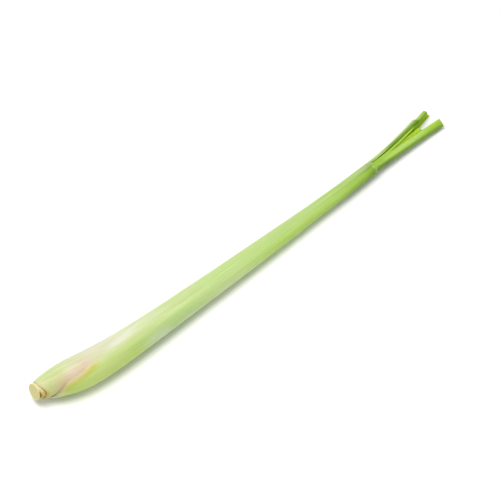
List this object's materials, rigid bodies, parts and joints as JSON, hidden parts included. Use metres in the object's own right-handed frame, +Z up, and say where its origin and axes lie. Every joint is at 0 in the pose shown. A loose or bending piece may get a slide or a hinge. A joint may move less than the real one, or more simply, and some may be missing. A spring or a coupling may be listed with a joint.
{
  "type": "lemongrass stalk",
  "caption": "Cut and trimmed lemongrass stalk lying down: pale bulb with an oblique leaf margin, slim rolled leaf sheaths and short folded blades cut off at the tip.",
  "frame": {"origin": "centre of the bounding box's bottom face, on the surface the stalk lies on", "axes": "+X along the stalk from its cut foot to its trimmed blades, +Y across it towards the side the foot bends to, +Z up"},
  "size_m": [0.4124, 0.0322, 0.0236],
  "materials": {
    "stem": "pale cream-yellow cut stem, matte",
    "outer_leaf": "pale green leaf, cream and mauve at the bulb, waxy",
    "inner_leaf": "yellow-green leaf, waxy, with fine lengthwise veins",
    "young_leaf": "light yellow-green rolled leaf, smooth"
  },
  "bodies": {
    "root": {"foot": "stem", "leaf_1": "outer_leaf", "leaf_2": "inner_leaf", "leaf_3": "inner_leaf", "leaf_4": "inner_leaf", "heart": "young_leaf"}
  },
  "joints": []
}
